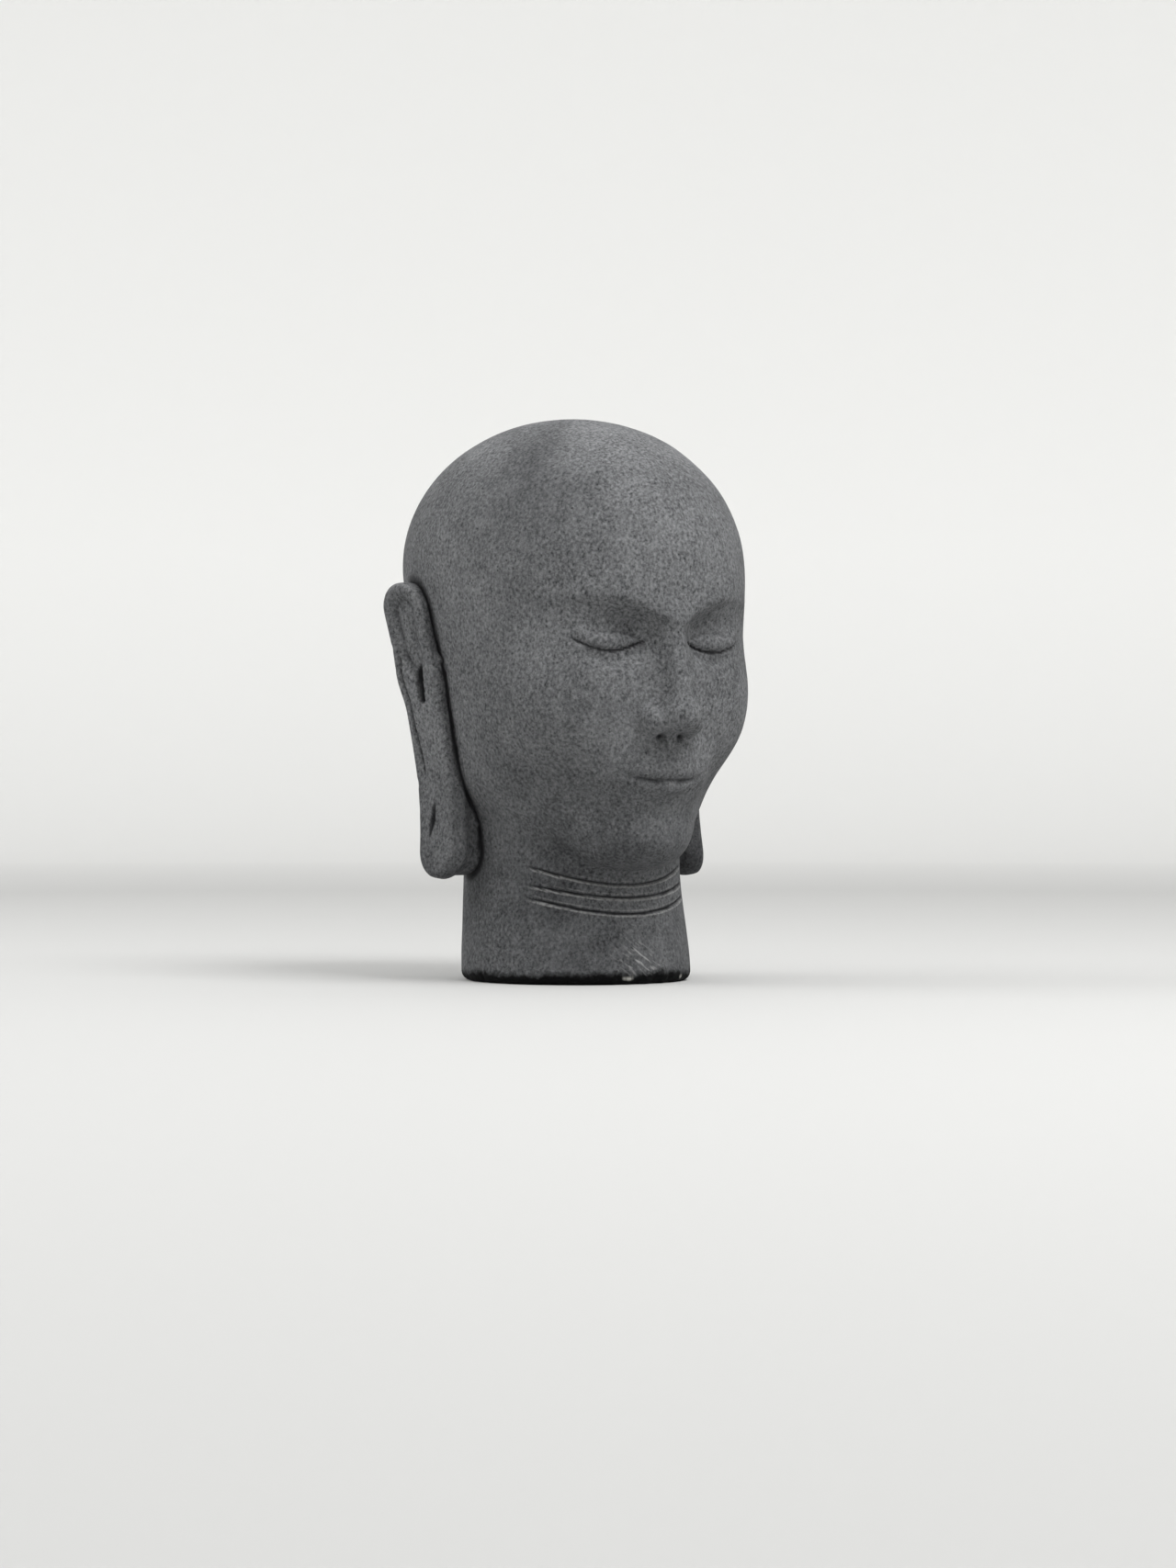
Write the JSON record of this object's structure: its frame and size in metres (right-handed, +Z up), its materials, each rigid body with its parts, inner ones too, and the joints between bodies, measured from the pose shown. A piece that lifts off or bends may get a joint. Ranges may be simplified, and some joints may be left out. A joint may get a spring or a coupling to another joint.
{
  "type": "stone buddha head",
  "caption": "Carved stone buddha head with a smooth domed skull, lowered lids, long pierced-style ear lobes and a neck with throat lines, cut flat below to stand on its own.",
  "frame": {"origin": "middle of the flat underside of the neck", "axes": "+Z up through the crown, -Y the way the face looks, +X towards the head's own left ear"},
  "size_m": [0.2572, 0.3016, 0.396],
  "materials": {
    "carved_andesite": "dark grey fine-grained volcanic stone, chiselled and rubbed, matt, with lighter speckle and pale dust on the ridges"
  },
  "bodies": {
    "root": {"stone_head": "carved_andesite"}
  },
  "joints": []
}
